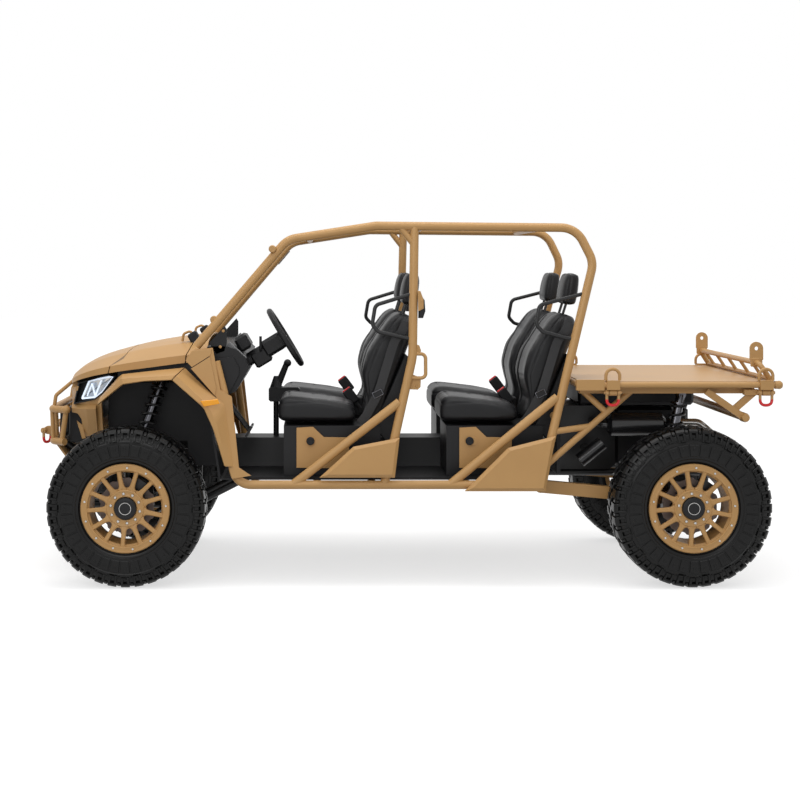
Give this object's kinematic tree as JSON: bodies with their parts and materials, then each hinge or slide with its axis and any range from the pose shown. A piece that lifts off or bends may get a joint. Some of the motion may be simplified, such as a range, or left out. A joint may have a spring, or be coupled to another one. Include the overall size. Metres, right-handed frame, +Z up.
{
  "type": "off-road utility buggy",
  "caption": "Open utility buggy with a bent-tube cage, bucket seats, a flat cargo deck with a rear rack, steered front wheels and coil-over suspension.",
  "frame": {"origin": "centre of the overall box, on the ground under the tyres", "axes": "+X towards the rear, +Y towards the vehicle's right side, +Z up"},
  "size_m": [3.8, 1.6, 1.8445],
  "materials": {
    "tan_metal": "satin tan powder coat",
    "tan_panel": "satin moulded tan panel",
    "black_metal": "satin black paint",
    "black_plastic": "grained moulded black",
    "upholstery": "soft black vinyl",
    "tyre": "dull rubber",
    "steel": "machined",
    "hub": "dull iron",
    "lamp": "clear lens",
    "shackle_red": "gloss red"
  },
  "bodies": {
    "chassis": {"sills": "tan_metal", "cross_members": "tan_metal", "cage_sides": "tan_metal", "b_pillars": "tan_metal", "side_braces": "tan_metal", "cage_cross_tubes": "tan_metal", "front_bumper": "tan_metal", "cargo_deck": "tan_metal", "deck_rails": "tan_metal", "deck_frame": "tan_metal", "rear_rack": "tan_metal", "rack_lugs": "tan_metal", "tie_down_rings": "tan_metal", "rear_arms": "tan_metal", "seat_side_plates": "tan_metal", "hood": "tan_panel", "front_fascia": "tan_panel", "fenders": "tan_panel", "cowl_sides": "tan_panel", "side_boxes": "tan_panel", "front_frame": "black_metal", "rear_rails": "black_metal", "engine": "black_metal", "exhaust": "black_metal", "gearboxes": "black_metal", "front_arms": "black_metal", "rear_hub_carriers": "black_metal", "springs": "black_metal", "seat_side_bars": "black_metal", "pedals": "black_metal", "floor_pan": "black_plastic", "firewall": "black_plastic", "tunnel": "black_plastic", "dash": "black_plastic", "seat_boxes": "black_plastic", "shifter": "black_plastic", "seat_cushions": "upholstery", "seat_backs": "upholstery", "headrests": "upholstery", "drive_shafts": "steel", "dampers": "steel", "lamps": "lamp", "shackles": "shackle_red", "belt_buckles": "shackle_red"},
    "knuckle_left": {"knuckle_left": "black_metal"},
    "knuckle_right": {"knuckle_right": "black_metal"},
    "steering_rack": {"tie_rods": "steel"},
    "steering_wheel": {"steering_wheel": "black_plastic"},
    "wheel_front_left": {"tyre_front_left": "tyre", "rim_front_left": "tan_metal", "hub_front_left": "hub"},
    "wheel_front_right": {"tyre_front_right": "tyre", "rim_front_right": "tan_metal", "hub_front_right": "hub"},
    "wheel_rear_left": {"tyre_rear_left": "tyre", "rim_rear_left": "tan_metal", "hub_rear_left": "hub"},
    "wheel_rear_right": {"tyre_rear_right": "tyre", "rim_rear_right": "tan_metal", "hub_rear_right": "hub"}
  },
  "joints": [
    {"name": "steer_left", "type": "hinge", "parent": "chassis", "child": "knuckle_left", "pos_m": [-1.395, -0.6, 0.402], "axis": [0, 0, 1], "range_deg": [-30, 30]},
    {"name": "steer_right", "type": "hinge", "parent": "chassis", "child": "knuckle_right", "pos_m": [-1.395, 0.6, 0.402], "axis": [0, 0, 1], "range_deg": [-31, 31]},
    {"name": "rack_slide", "type": "slide", "parent": "chassis", "child": "steering_rack", "axis": [0, 1, 0], "range_m": [-0.06, 0.06]},
    {"name": "steering_turn", "type": "hinge", "parent": "chassis", "child": "steering_wheel", "pos_m": [-0.603, -0.345, 1.24], "axis": [0.8536, 0, 0.521], "range_deg": [-365, 365]},
    {"name": "spin_front_left", "type": "hinge", "parent": "knuckle_left", "child": "wheel_front_left", "pos_m": [-1.395, -0.673, 0.402], "axis": [0, 1, 0], "continuous": true},
    {"name": "spin_front_right", "type": "hinge", "parent": "knuckle_right", "child": "wheel_front_right", "pos_m": [-1.395, 0.673, 0.402], "axis": [0, 1, 0], "continuous": true},
    {"name": "spin_rear_left", "type": "hinge", "parent": "chassis", "child": "wheel_rear_left", "pos_m": [1.45, -0.673, 0.402], "axis": [0, 1, 0], "continuous": true},
    {"name": "spin_rear_right", "type": "hinge", "parent": "chassis", "child": "wheel_rear_right", "pos_m": [1.45, 0.673, 0.402], "axis": [0, 1, 0], "continuous": true}
  ],
  "couplings": [
    {"joint": "steer_right", "follows": "steer_left", "ratio": 1},
    {"joint": "rack_slide", "follows": "steer_left", "m_per_rad": 0.108},
    {"joint": "steering_turn", "follows": "steer_left", "ratio": 12}
  ]
}
